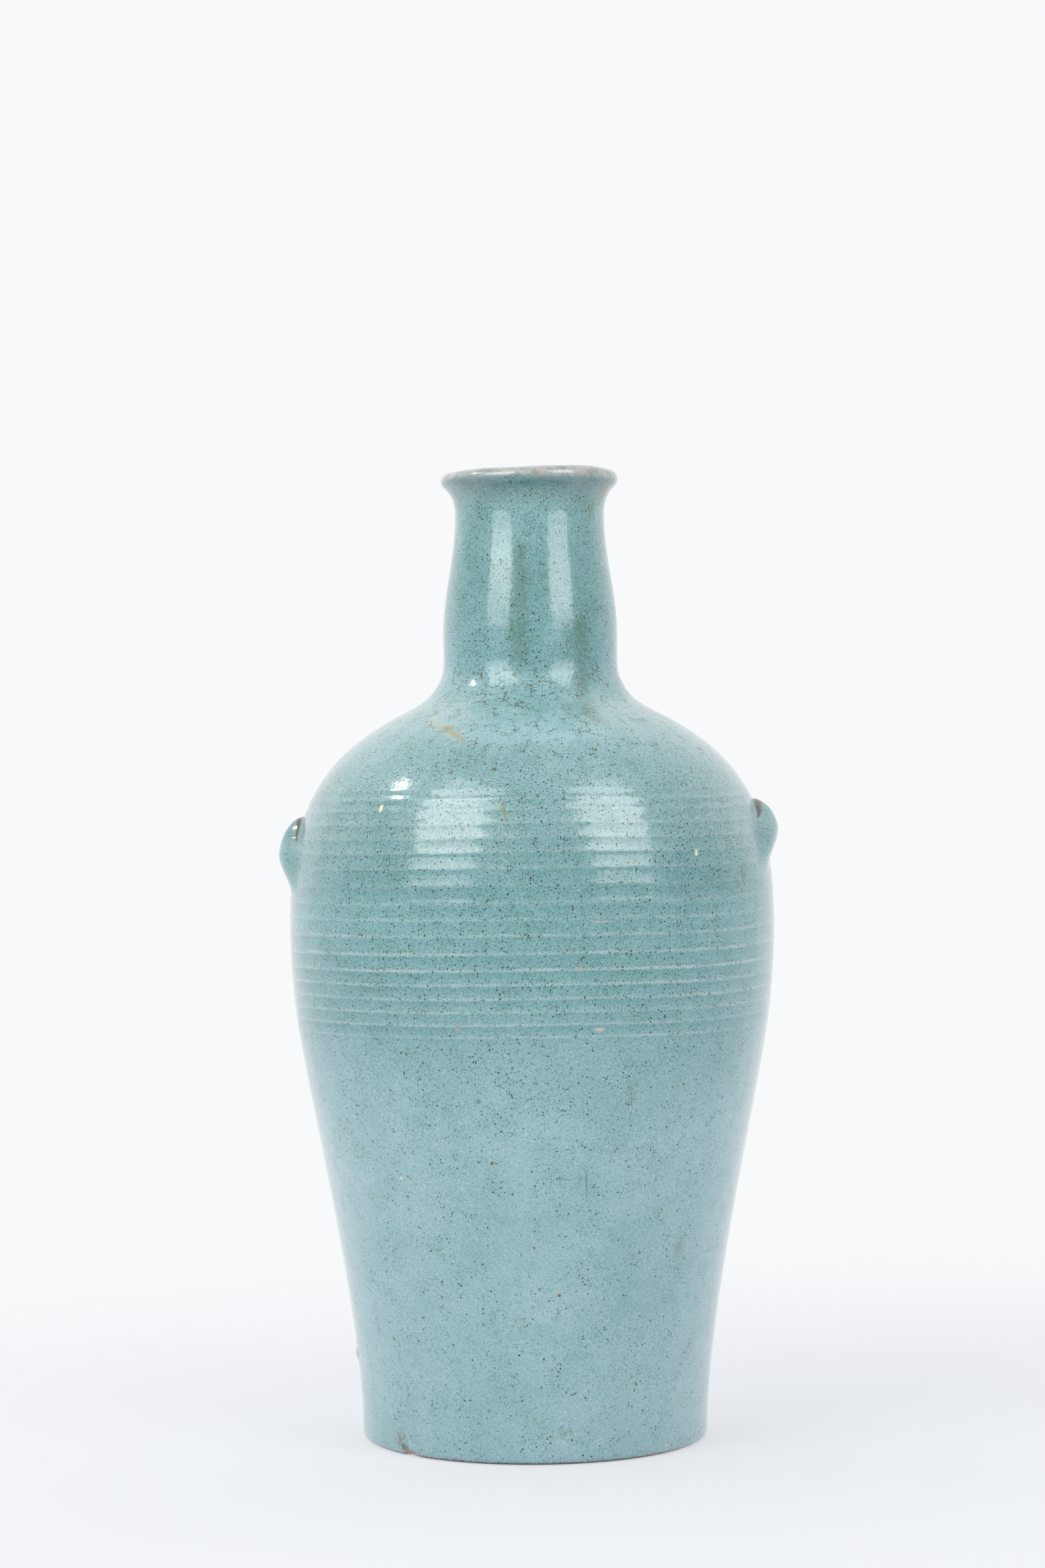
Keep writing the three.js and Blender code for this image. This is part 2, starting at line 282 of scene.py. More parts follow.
def throwing_rings():
    """Relief of the rings on every row and column, and the masks that colour them: the place in the ring
    as the cosine and sine of a turn, with the crest at 0, and the strength of the rings there."""
    along = row_along - row_along[row_of["belly_wall"]]
    turns, place, strength = ring_spiral()
    turn_share = theta / (2 * math.pi)
    sway = sum(size * np.sin(count * theta + phase) for count, size, phase in RING_SWAY)
    crest = np.zeros((len(rows), COLUMNS))
    ringed = slice(row_of["belly_lute"], row_of["collar_wall"])
    for turn in range(RING_TURNS):
        centre = np.interp(turn + turn_share, turns, place) + sway
        height = np.interp(turn + turn_share, turns, strength)
        offset = (along[ringed, None] - centre) / RING_CREST_WIDTH
        crest[ringed] += height * np.exp(-offset**2)
    gain = 1.0 + RING_DOME_GAIN * smoothstep(*RING_DOME_FADE, row_z)
    hollow = smoothstep(*HOLLOW_BEGINS, along) * (1.0 - smoothstep(*HOLLOW_ENDS, along))
    relief = RING_RELIEF * gain[:, None] * crest - HOLLOW_DEPTH * hollow[:, None]
    unwound = along[:, None] - sway
    cycle = 2 * math.pi * (np.interp(unwound, place, turns) - turn_share)
    level = np.interp(unwound, place, strength, left=0.0, right=0.0)
    return relief, {"ring_cos": np.cos(cycle), "ring_sin": np.sin(cycle), "ring_level": level}


# The wall isn't quite round. Each of its waves has a count round the axis, a share of the radius, a phase and
# the rise in which it turns by a radian. The lip's crown waves up and down by a count, height and phase.
WAVES = [(2, 0.0016, 0.4, 190.0), (3, 0.0011, 2.2, 130.0), (5, 0.0007, 4.1, 90.0)]
LIP_WAVES = [(1, 0.35, 1.1), (2, 0.30, 3.0), (5, 0.10, 0.3), (9, 0.06, 2.0)]
LIP_WAVE_REACH = 14.0


def roundness(angle, z):
    """Scale of the radius at an angle and a height."""
    waves = [size * np.cos(count * angle + phase + z / rise) for count, size, phase, rise in WAVES]
    return 1.0 + sum(waves)


def lip_wave(angle, z):
    """Rise and fall of the lip's crown."""
    wave = sum(size * np.sin(count * angle + phase) for count, size, phase in LIP_WAVES)
    return wave * smoothstep(CROWN.z - LIP_WAVE_REACH, CROWN.z, z)


# A chip at the foot and a wart above it: angle from +X in degrees, height, half width, half height, relief.
DENTS = [
    (224.0, 0.6, 2.6, 1.6, -0.5),
    (186.0, 29.0, 1.3, 1.8, 0.7),
]


def dents():
    """Relief of the chip and the wart on every row and column."""
    relief = np.zeros((len(rows), COLUMNS))
    for degrees, z, half_width, half_height, depth in DENTS:
        turn = (theta - math.radians(degrees) + math.pi) % (2 * math.pi) - math.pi
        across = row_r[:, None] * turn / half_width
        up = (row_z[:, None] - z) / half_height
        spot = depth * np.exp(-(across**2) - up**2)
        relief[OUTER_ROWS] += spot[OUTER_ROWS]
    return relief


def wall_grid():
    """Points and normals of every row and column of the bottle's wall, and the masks of its rings."""
    rings, masks = throwing_rings()
    relief = rings + dents()
    radius = (row_r[:, None] + row_tangent[:, 1, None] * relief) * roundness(theta, row_z[:, None])
    height = row_z[:, None] - row_tangent[:, 0, None] * relief + lip_wave(theta, row_z[:, None])
    points = np.stack([radius * np.cos(theta), radius * np.sin(theta), height], axis=2)
    across = np.roll(points, -1, axis=1) - np.roll(points, 1, axis=1)
    normals = np.cross(across, np.gradient(points, axis=0))
    normals[0] = (0.0, 0.0, -1.0)
    normals[-1] = (0.0, 0.0, 1.0)
    return points, normals / np.linalg.norm(normals, axis=2)[:, :, None], masks


wall_points, wall_normals, wall_masks = wall_grid()
outer_z = row_z[OUTER_ROWS]
outer_r = row_r[OUTER_ROWS]

# Rows down the bore, from its top, over which the glaze ends.
BARE_ROWS = (6, 18)


def bare_mask():
    """Where the wall is left unglazed: the underside of the foot and the deep inside."""
    number = np.arange(len(rows))
    under = (number <= row_of["corner"]).astype(float)
    inside = fade_about(number, row_of["inner_neck_taper"], BARE_ROWS)
    return np.repeat(np.maximum(under, inside)[:, None], COLUMNS, axis=1)


wall_masks["bare"] = bare_mask()


def new_object(name, data):
    made = bpy.data.objects.new(name, data)
    bpy.context.scene.collection.objects.link(made)
    return made


def add_piece(name, points, faces, masks, slot, replaced, normals=None):
    """A closed mesh as a piece that rides on the frame and stands for a CAD node."""
    mesh = bpy.data.meshes.new(name)
    mesh.from_pydata((points * MM).tolist(), [], faces)
    mesh.shade_smooth()
    for mask_name, values in masks.items():
        attribute = mesh.attributes.new(mask_name, "FLOAT", "POINT")
        attribute.data.foreach_set("value", values.astype(np.float32))
    if normals is not None:
        mesh.normals_split_custom_set_from_vertices(normals.tolist())
    mesh.materials.append(GLAZES[slot])
    piece = new_object(name, mesh)
    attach(piece, "root")
    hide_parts(replaced)


def strip(lower, upper):
    """Quads between two rings of vertex numbers, or triangles where one of them is a single point."""
    count = max(len(lower), len(upper))
    faces = []
    for k in range(count):
        following = (k + 1) % count
        quad = [lower[k % len(lower)], lower[following % len(lower)]]
        quad += [upper[following % len(upper)], upper[k % len(upper)]]
        faces.append(list(dict.fromkeys(quad)))
    return faces


def rows_between(limits):
    """Row numbers from the start of one stretch of the section to the start of another, pair by pair."""
    pairs = zip(limits[0::2], limits[1::2])
    return [row for first, last in pairs for row in range(row_of[first], row_of[last] + 1)]


def turned_piece(name, row_numbers, slot, replaced):
    """One thrown piece of the wall, from its rows of the section. Its last row joins its first, unless they
    are single points on the axis."""
    points, normals, rings = [], [], []
    values = {mask_name: [] for mask_name in wall_masks}
    for row in row_numbers:
        columns = slice(0, 1) if row in (0, row_of["end"]) else slice(None)
        first = sum(map(len, points))
        points.append(wall_points[row, columns])
        normals.append(wall_normals[row, columns])
        rings.append(list(range(first, first + len(points[-1]))))
        for mask_name, mask in wall_masks.items():
            values[mask_name].append(mask[row, columns])
    pairs = list(zip(rings, rings[1:])) + ([(rings[-1], rings[0])] if len(rings[0]) > 1 else [])
    faces = [face for lower, upper in pairs for face in strip(lower, upper)]
    masks = {mask_name: np.concatenate(parts) for mask_name, parts in values.items()}
    add_piece(name, np.concatenate(points), faces, masks, slot, replaced, np.concatenate(normals))


# Lugs: pinched ears pressed onto the shoulder. A lug melts into the wall along its sides. Its ridge rises
# from the tail to its full reach, leans to one side and rounds off at the top, with a groove of bare clay on
# each side, whose colour carries painted shade. Between the tail and the peak the ridge is worn bare too.
class Lug(NamedTuple):
    """One lug: its turns from +X in degrees, its heights, its reach, half widths and grooves."""
    name: str
    tail_turn: float
    top_turn: float
    tail: float
    peak: float
    top: float
    reach: float
    foot_width: float
    ear_width: float
    groove_floor: float
    groove_inset: float
    groove_width: float


LEFT_LUG = Lug("left_ear", 191.0, 186.0, 184.2, 200.6, 212.4, 5.6, 20.0, 8.2, 202.0, 1.9, 1.6)
RIGHT_LUG = Lug("right_ear", -16.5, -9.0, 192.0, 209.6, 217.8, 5.6, 22.0, 11.0, 209.5, 3.2, 3.6)
LUG_ROWS = 72
LUG_FRONT = 96
LUG_BACK = 24
LUG_SINK = 1.2
LUG_BACK_SINK = 1.8
LUG_TAIL_WIDTH = 0.45
LUG_RAMP = 1.1
LUG_ROUND = 2.3
LUG_ARCH = 2.0
LUG_PINCH = 0.8
LUG_RIDGE = 0.25
LUG_PINCH_RISE = (-4.0, 4.0)
LUG_MARGIN = 0.02
LUG_SKIRT = 0.96
LUG_LAST_LOOP = 0.02
GROOVE_DEPTH = 0.3
GROOVE_BARE = 0.56
GROOVE_NARROW = 0.2
GROOVE_DEEPENS = (0.0, 0.25)
RIDGE_BARE = 0.38
RIDGE_FADE = (0.2, 0.06)
WORN_BEGINS = (3.0, 7.0)
WORN_ENDS = (-6.0, 0.0)


def lug_section(lug, z):
    """Reach and half width of a lug at a height, and how far its foot is pinched in there."""
    climb = np.clip((z - lug.tail) / (lug.peak - lug.tail), 0.0, 1.0)
    over = np.clip((z - lug.peak) / (lug.top - lug.peak), 0.0, 1.0)
    pinch = fade_about(z, lug.groove_floor, LUG_PINCH_RISE)
    reach = lug.reach * smoothstep(0.0, 1.0, climb**LUG_RAMP) * (1.0 - over**LUG_ROUND) ** (1.0 / LUG_ROUND)
    spread = LUG_TAIL_WIDTH + (1.0 - LUG_TAIL_WIDTH) * smoothstep(0.0, 1.0, climb)
    arch = (1.0 - over**LUG_ARCH) ** (1.0 / LUG_ARCH)
    width = lug.foot_width + (lug.ear_width - lug.foot_width) * pinch
    return reach, width * spread * arch, pinch


def lug_loop(lug, z):
    """One closed loop of a lug: offsets along the wall, heights above it and bare clay, front first. The back
    lies inside the wall."""
    reach, half_width, pinch = lug_section(lug, z)
    swing = np.sin(np.linspace(-math.pi / 2, math.pi / 2, LUG_FRONT))
    share = np.abs(swing)
    melted = 1.0 - smootherstep(share)
    pinched = 1.0 - (np.hypot(share, LUG_RIDGE) - LUG_RIDGE) / (math.hypot(1.0, LUG_RIDGE) - LUG_RIDGE)
    rise = np.clip((z - lug.groove_floor) / (lug.top - lug.groove_floor), 0.0, 1.0)
    groove_width = lug.groove_width * (GROOVE_NARROW + (1.0 - GROOVE_NARROW) * rise)
    across_groove = (half_width * (1.0 - share) - lug.groove_inset) / groove_width
    groove = np.exp(-(across_groove**2)) * smoothstep(*GROOVE_DEEPENS, rise)
    worn = fade_about(z, lug.tail, WORN_BEGINS) * (1.0 - fade_about(z, lug.peak, WORN_ENDS))
    ridge = RIDGE_BARE * worn * smoothstep(*RIDGE_FADE, share)
    skirt = LUG_MARGIN + LUG_SINK * smoothstep(LUG_SKIRT, 1.0, share)
    front = reach * (melted + (pinched - melted) * LUG_PINCH * pinch) - GROOVE_DEPTH * groove - skirt
    across = np.concatenate([swing, np.linspace(1.0, -1.0, LUG_BACK)]) * half_width
    out = np.concatenate([front, np.full(LUG_BACK, -LUG_BACK_SINK)])
    bare = np.concatenate([np.maximum(GROOVE_BARE * groove, ridge), np.zeros(LUG_BACK)])
    return across, out, bare


def lug_mesh(lug):
    """Points, faces and masks of a lug, loop by loop from its tail to its top."""
    share = np.linspace(0.0, 1.0, LUG_ROWS)
    heights = lug.tail + (lug.top - lug.tail) * np.sin(share * math.pi / 2)
    points, bare = [], []
    for z in heights:
        across, out, loop_bare = lug_loop(lug, min(z, lug.top - LUG_LAST_LOOP))
        radius = np.interp(z, outer_z, outer_r)
        lean = smoothstep(lug.tail, lug.peak, z)
        angle = math.radians(lug.tail_turn + (lug.top_turn - lug.tail_turn) * lean) + across / radius
        distance = radius * roundness(angle, z) + out
        loop = [distance * np.cos(angle), distance * np.sin(angle), np.full_like(angle, z)]
        points.append(np.stack(loop, axis=1))
        bare.append(loop_bare)
    size = LUG_FRONT + LUG_BACK
    rings = [list(range(k * size, (k + 1) * size)) for k in range(LUG_ROWS)]
    faces = [face for lower, upper in zip(rings, rings[1:]) for face in strip(lower, upper)]
    faces += [rings[0][::-1], rings[-1]]
    return np.concatenate(points), faces, {"bare": np.concatenate(bare)}


def on_wall(turn, z):
    """The place on the outer wall at an angle from the front, to the right, in degrees, and at a height."""
    radius = np.interp(z, outer_z, outer_r)
    angle = math.radians(turn)
    return (radius * math.sin(angle), -radius * math.cos(angle), z)


def srgb(red, green, blue):
    """A displayed colour of 0 to 255 as the linear colour that a shader takes."""
    def channel(value):
        share = value / 255.0
        return share / 12.92 if share <= 0.04045 else ((share + 0.055) / 1.055) ** 2.4
    return (channel(red), channel(green), channel(blue), 1.0)


class Graph:
    """A node tree, with one short call for each kind of node that the materials use."""

    def __init__(self, tree):
        self.tree = tree

    def feed(self, socket, value):
        """Link a socket, or set it to a constant."""
        if isinstance(value, bpy.types.NodeSocket):
            self.tree.links.new(value, socket)
        else:
            socket.default_value = value

    def add(self, kind, inputs=(), **settings):
        node = self.tree.nodes.new(kind)
        for name, value in settings.items():
            setattr(node, name, value)
        for name, value in dict(inputs).items():
            self.feed(node.inputs[name], value)
        return node

    def math(self, operation, *values, clamp=False):
        node = self.add("ShaderNodeMath", enumerate(values), operation=operation, use_clamp=clamp)
        return node.outputs[0]

    def times(self, first, second):
        return self.math("MULTIPLY", first, second)

    def vector(self, operation, *values):
        node = self.add("ShaderNodeVectorMath", enumerate(values), operation=operation)
        return node.outputs["Value" if operation in ("LENGTH", "DISTANCE", "DOT_PRODUCT") else "Vector"]

    def fade(self, value, low, high, to_low=0.0, to_high=1.0):
        """A smooth change from one value to another between two limits."""
        inputs = {"Value": value, "From Min": low, "From Max": high, "To Min": to_low, "To Max": to_high}
        return self.add("ShaderNodeMapRange", inputs, interpolation_type="SMOOTHSTEP").outputs[0]

    def mix(self, factor, first, second, blend="MIX"):
        node = self.add("ShaderNodeMix", {"Factor": factor}, data_type="RGBA", blend_type=blend)
        colour_inputs = [socket for socket in node.inputs if socket.type == "RGBA"]
        self.feed(colour_inputs[0], first)
        self.feed(colour_inputs[1], second)
        return [socket for socket in node.outputs if socket.type == "RGBA"][0]

    def ramp(self, value, stops):
        """Colours by a value of 0 to 1."""
        node = self.add("ShaderNodeValToRGB", {0: value})
        elements = node.color_ramp.elements
        while len(elements) < len(stops):
            elements.new(1.0)
        for element, (place, colour) in zip(elements, stops):
            element.position = place
            element.color = colour
        return node.outputs["Color"]


# Colours of the glaze from the foot to the lip, by height. The darkening towards the last tone, under the
# lip's crown, is painted shade.
GLAZE_TONES = [
    (0.0, (130, 164, 171)),
    (70.0, (128, 162, 169)),
    (110.0, (128, 162, 170)),
    (145.0, (107, 147, 152)),
    (178.0, (111, 152, 156)),
    (191.0, (103, 145, 149)),
    (210.0, (118, 152, 155)),
    (235.0, (120, 157, 161)),
    (250.0, (127, 164, 168)),
    (264.0, (110, 153, 160)),
    (290.0, (105, 145, 147)),
    (315.0, (108, 148, 151)),
    # Painted shade under the lip's crown.
    (325.0, (92, 123, 125)),
]
THICK_TINT = (0.80, 0.88, 0.86, 1.0)
THIN_TINT = (1.20, 1.10, 1.09, 1.0)
GRAIN_DEEP = (0.48, 0.68, 0.62, 1.0)
GRAIN_PALE = (1.46, 1.26, 1.26, 1.0)
GREEN_TINT = (0.93, 1.0, 0.94, 1.0)
# The deep band below each ring's crest: pooled glaze and painted shade.
RING_SHADE_TINT = (0.70, 0.88, 0.89, 1.0)
CREST_PALE = srgb(184, 191, 191)
CLAY = srgb(148, 102, 76)
CLAY_DARK = srgb(96, 62, 44)
# The lugs' bare clay, darkened with the painted shade of their grooves.
SHADED_LUG_CLAY = srgb(106, 88, 78)
SHADED_LUG_CLAY_DARK = srgb(72, 60, 52)
# The dark line along the foot's edge is a painted contact shadow over bare clay.
FOOT_SHADOW_LINE = srgb(40, 30, 26)
CRAWL_BROWN = srgb(58, 58, 34)
# The lip's crown: clay through thin glaze, with a painted highlight.
LIP_THIN_AND_HIGHLIGHT = srgb(184, 178, 173)

# Levels by height: how strongly the glaze is speckled, clouded and grained, and how rough its gloss is.
SPECK_LEVELS = [
    (0.0, 0.4), (100.0, 0.45), (140.0, 0.7), (160.0, 1.0), (225.0, 1.0), (245.0, 0.5), (265.0, 0.75),
    (315.0, 0.75), (330.0, 0.5),
]
CLOUD_LEVELS = [(0.0, 0.5), (130.0, 0.55), (240.0, 0.65), (265.0, 1.0), (330.0, 1.0)]
GRAIN_LEVELS = [(0.0, 0.7), (125.0, 0.75), (150.0, 0.9), (225.0, 0.9), (262.0, 1.0), (330.0, 1.0)]
ROUGH_LEVELS = [
    (0.0, 0.36), (130.0, 0.36), (150.0, 0.33), (205.0, 0.37), (230.0, 0.36), (258.0, 0.42), (275.0, 0.32),
    (330.0, 0.30),
]


class Speckle(NamedTuple):
    """Specks of one colour, in a share of the cells of a random lattice, with radii up to a limit."""
    colour: tuple
    strength: float
    cell: float
    share: float
    radius: float


# The last of the specks are the large dark ones, which are also pits.
SPECKLES = [
    Speckle(srgb(178, 208, 210), 0.35, 0.80, 0.4, 0.20),
    Speckle(srgb(70, 72, 32), 0.85, 0.66, 0.65, 0.27),
    Speckle(srgb(16, 44, 46), 0.95, 0.47, 0.85, 0.21),
    Speckle(srgb(8, 48, 112), 0.90, 1.30, 0.5, 0.31),
    Speckle(srgb(4, 12, 18), 1.00, 0.90, 0.6, 0.38),
]
FLECKS = [
    Speckle(srgb(120, 72, 40), 0.9, 6.0, 0.25, 0.42),
    Speckle(srgb(206, 200, 160), 0.9, 4.5, 0.30, 0.28),
]


# Marks on the front: places by the angle from the front, to the right, in degrees, and by the height.
class Spot(NamedTuple):
    """A round or oval mark: its place, half sizes, colour, strength, and how soft and ragged its edge is."""
    turn: float
    z: float
    half_width: float
    half_height: float
    colour: tuple
    strength: float
    soft: float = 0.3
    ragged: float = 1.4


class Streak(NamedTuple):
    """A long mark from one place to another: its half width, and the share of it lost towards the end."""
    start: tuple
    end: tuple
    half_width: float
    taper: float
    colour: tuple
    strength: float
    soft: float = 0.4
    ragged: float = 1.4


CREAM = srgb(228, 212, 178)
TAN = srgb(142, 140, 104)
TAN_PALE = srgb(166, 170, 148)
STREAK_BROWN = srgb(124, 106, 58)
STREAK_OLIVE = srgb(66, 74, 44)
PINK = srgb(196, 172, 158)
ORANGE = srgb(182, 136, 112)
OLIVE_STAIN = srgb(92, 104, 70)
POOL_BLUE = srgb(146, 180, 189)
DRIP_GREEN = srgb(62, 100, 74)
SCRATCH_GREY = srgb(92, 110, 106)
GREEN_SPOT = srgb(36, 104, 92)
RUST_SPOT = srgb(112, 64, 34)
STAIN_BROWN = srgb(92, 78, 42)
STAIN_DARK = srgb(66, 52, 36)
CHIP_CLAY = srgb(146, 86, 56)

LOWER_MARKS = [
    Spot(-13.4, 121.0, 0.8, 0.8, GREEN_SPOT, 0.7, 0.5),
    Spot(-10.9, 100.6, 0.5, 0.5, RUST_SPOT, 1.0),
    Spot(-37.7, 94.4, 0.5, 0.5, CREAM, 0.6),
    Spot(44.9, 69.6, 1.8, 2.8, OLIVE_STAIN, 0.45, 0.9, 7.0),
    Spot(9.3, 10.7, 2.2, 1.4, OLIVE_STAIN, 0.4, 0.9, 9.0),
    Spot(23.9, 123.1, 1.6, 2.8, OLIVE_STAIN, 0.3, 0.9, 7.0),
    Spot(33.2, 25.3, 0.5, 0.5, RUST_SPOT, 0.9),
    Spot(-49.8, 5.1, 1.6, 2.4, STAIN_BROWN, 0.55, 0.9, 9.0),
    Spot(-47.6, 3.0, 1.5, 1.0, STAIN_DARK, 0.8, 0.6, 5.0),
    Spot(-45.2, 1.5, 2.6, 0.9, CHIP_CLAY, 0.9, 0.4, 3.0),
    Spot(-25.0, 0.9, 0.9, 0.4, CHIP_CLAY, 0.8),
    Spot(-0.2, 72.6, 0.4, 0.4, RUST_SPOT, 0.9),
    Spot(1.2, 58.8, 0.4, 0.4, RUST_SPOT, 0.9),
    Spot(7.0, 56.7, 0.6, 0.5, RUST_SPOT, 1.0),
    Spot(-35.6, 47.7, 0.45, 0.45, RUST_SPOT, 0.9),
    Streak((13.4, 97.5), (13.9, 88.8), 0.3, 0.5, SCRATCH_GREY, 0.8),
]
UPPER_MARKS = [
    Spot(1.5, 240.8, 20.0, 7.0, POOL_BLUE, 0.65, 0.8, 3.0),
    Spot(-40.2, 215.6, 0.6, 1.3, CREAM, 0.9),
    Spot(41.3, 200.4, 0.6, 1.0, CREAM, 0.8),
    Spot(10.2, 164.1, 1.2, 0.4, ORANGE, 0.7, 0.5),
    Spot(15.5, 179.0, 3.0, 0.4, PINK, 0.35, 0.6),
    Spot(-17.5, 144.4, 1.0, 0.5, ORANGE, 0.6, 0.5),
    Spot(15.2, 144.2, 1.6, 0.6, PINK, 0.6, 0.5),
    Spot(58.4, 193.0, 2.0, 3.0, OLIVE_STAIN, 0.5, 0.8, 4.0),
    Streak((-7.1, 217.0), (-5.3, 205.0), 0.6, 0.8, STREAK_BROWN, 0.75, 0.5, 2.5),
    Streak((-5.3, 205.0), (-4.8, 197.5), 0.2, 0.4, STREAK_BROWN, 0.4, 0.6, 2.5),
    Streak((-40.0, 244.0), (-25.0, 238.6), 2.2, 0.3, TAN_PALE, 0.5, 0.9),
    Streak((-31.0, 241.6), (-19.9, 236.3), 1.7, 0.8, TAN, 0.65, 0.6),
    Streak((-7.0, 262.0), (-4.6, 250.0), 0.9, 0.6, STREAK_OLIVE, 0.6, 0.6, 3.0),
    Streak((33.4, 258.0), (25.0, 244.7), 2.6, 0.0, DRIP_GREEN, 0.5, 0.9, 5.0),
]

# Single cracks of the crawled glaze, each from one place to another.
CRAWLS = [
    ((-21.2, 214.8), (-19.3, 213.4)),
    ((-19.3, 213.4), (-16.9, 214.3)),
    ((-24.9, 220.1), (-22.6, 218.6)),
    ((-18.9, 206.4), (-18.4, 203.0)),
    ((1.2, 219.7), (3.1, 217.4)),
    ((6.1, 211.1), (8.1, 209.8)),
    ((7.7, 206.6), (9.3, 204.1)),
    ((11.5, 223.1), (13.4, 221.8)),
    ((21.7, 220.2), (23.1, 218.2)),
    ((27.5, 217.9), (28.1, 215.3)),
]
UPPER_MARKS += [Streak(start, end, 0.24, 0.6, CRAWL_BROWN, 0.85, 0.5, 2.5) for start, end in CRAWLS]
NECK_MARKS = [
    Streak((-7.4, 266.0), (-7.6, 303.0), 3.4, 0.4, DRIP_GREEN, 0.48, 0.98, 7.0),
    Streak((33.4, 276.0), (33.4, 257.0), 3.6, 0.0, DRIP_GREEN, 0.48, 0.98, 7.0),
    Spot(-59.6, 327.3, 0.8, 0.5, ORANGE, 0.6, 0.6, 3.0),
    Spot(7.6, 327.3, 1.2, 0.4, ORANGE, 0.5, 0.6, 3.0),
    Spot(20.7, 327.4, 0.8, 0.4, ORANGE, 0.5, 0.6, 3.0),
    Spot(42.5, 328.7, 1.2, 0.5, ORANGE, 0.5, 0.6, 3.0),
    Spot(70.0, 324.0, 2.0, 3.6, STAIN_BROWN, 0.5, 0.9, 7.0),
    Spot(55.0, 316.0, 1.4, 2.6, STAIN_BROWN, 0.4, 0.9, 7.0),
]


class Noise(NamedTuple):
    """A cloudy pattern: the size of its features, the count of its finer levels and their strength."""
    size: float
    detail: float = 2.0
    roughness: float = 0.5


# Marks this soft are runs and stains in the glaze, so its specks lie over them. Spots reach a depth into the
# wall, and a noise makes the edges of all marks uneven.
IN_GLAZE = 0.8
MARK_DEPTH = 7.0
MARK_CRUMBLE = Noise(1.2, 4.0, 0.7)

# The fades below are pairs of limits, followed by the values at them where those aren't 0 and 1.
# Thick and thin glaze: broad patches, clouds and a fine grain.
BROAD_PATCHES = Noise(34.0, 3.0)
BROAD_STRENGTH = 0.45
CLOUDS = Noise(11.0, 5.0, 0.7)
THICK_FADE = (0.50, 0.32)
THIN_FADE = (0.50, 0.68)
GRAIN = Noise(0.55, 2.0, 0.6)
GRAIN_DEEP_FADE = (0.50, 0.30)
GRAIN_PALE_FADE = (0.50, 0.70)

# Rings: the deep band below a crest, of pooled glaze and painted shade, by shares of the way to the next one,
# the pale crest and its breaks, and the heights between which both grow weaker.
BAND_BEGINS = (0.05, 0.16)
BAND_ENDS = (0.9, 0.2)
CREST_FADE = (0.16, 0.02)
CREST_BREAKS = Noise(5.0, 2.0, 0.6)
CREST_BREAK_STRETCH = (0.25, 0.25, 0.6)
CREST_BREAK_FADE = (0.36, 0.64, 0.35, 1.0)
CREST_COVER = 0.4
RINGS_WEAKEN = (190.0, 162.0, 0.45, 1.0)

# Specks: the greener patches where they gather, and how much fewer they are between those. Their radii are
# shares of a limit: the smallest, what growth adds, the power that makes large ones rare, and the soft edge.
SPECK_PATCHES = Noise(9.0, 4.0, 0.65)
SPECK_PATCH_FADE = (0.40, 0.62)
SPECK_GREENING = 0.7
SPECK_THINNING = 0.4
SPECK_SMALLEST = 0.45
SPECK_GROWTH = 0.6
SPECK_RARITY = 1.6
SPECK_EDGE = 0.3

# Thin glaze on the crown of the lip, painted pale with the lamps' highlight as well.
LIP_PALE_PATCHES = Noise(3.0, 4.0, 0.6)
LIP_PALE_FADE = (0.36, 0.6, 0.4, 1.0)
LIP_HEIGHTS = (325.4, 328.0)
LIP_COVER = 0.72

# Cracks: the edges of flattened and bent cells, kept where a noise is high. It is raised about the collar.
CRACK_CELL = 3.4
CRACK_FLATTEN = (0.7, 0.7, 1.2)
CRACK_BEND = Noise(1.0 / 0.35, 3.0)
CRACK_BEND_REACH = 3.0
CRACK_EDGE = (0.044, 0.012)
CRACK_PLACES = Noise(4.5, 4.0, 0.6)
CRACK_PLACE_FADE = (0.67, 0.74)
CRACKS_BELOW_COLLAR = (214.0, 250.0)
CRACKS_ABOVE_COLLAR = (270.0, 258.0)
CRACKS_RAISED = 0.195
CRACK_COVER = 0.88

# Bare clay, and a dark line along the edge of the foot, which is bare clay with a painted contact shadow.
# The grain makes both edges uneven.
FOOT_SHADOW_UNEVEN = 1.2
FOOT_SHADOW_FADE = (1.8, 1.3)
FOOT_SHADOW_COVER = 0.95
BARE_UNEVEN = 0.2
BARE_FADE = (0.40, 0.68)
CLAY_MOTTLE = Noise(4.0, 4.0, 0.7)
CLAY_MOTTLE_FADE = (0.35, 0.7)
CLAY_ROUGHNESS = 0.8

# Gloss, and the heights of the small relief in the glaze.
SHEEN = Noise(5.0, 3.0)
SHEEN_FADE = (0.3, 0.7, -0.04, 0.04)
GLAZE_IOR = 1.5
COAT_ROUGHNESS = 0.08
RIPPLES = Noise(3.2)
RIPPLE_HEIGHT = 0.08
DIMPLES = Noise(1.5)
DIMPLE_HEIGHT = 0.04
PEEL_HEIGHT = 0.012
PIT_DEPTH = 0.03
BUMP_STRENGTH = 0.7


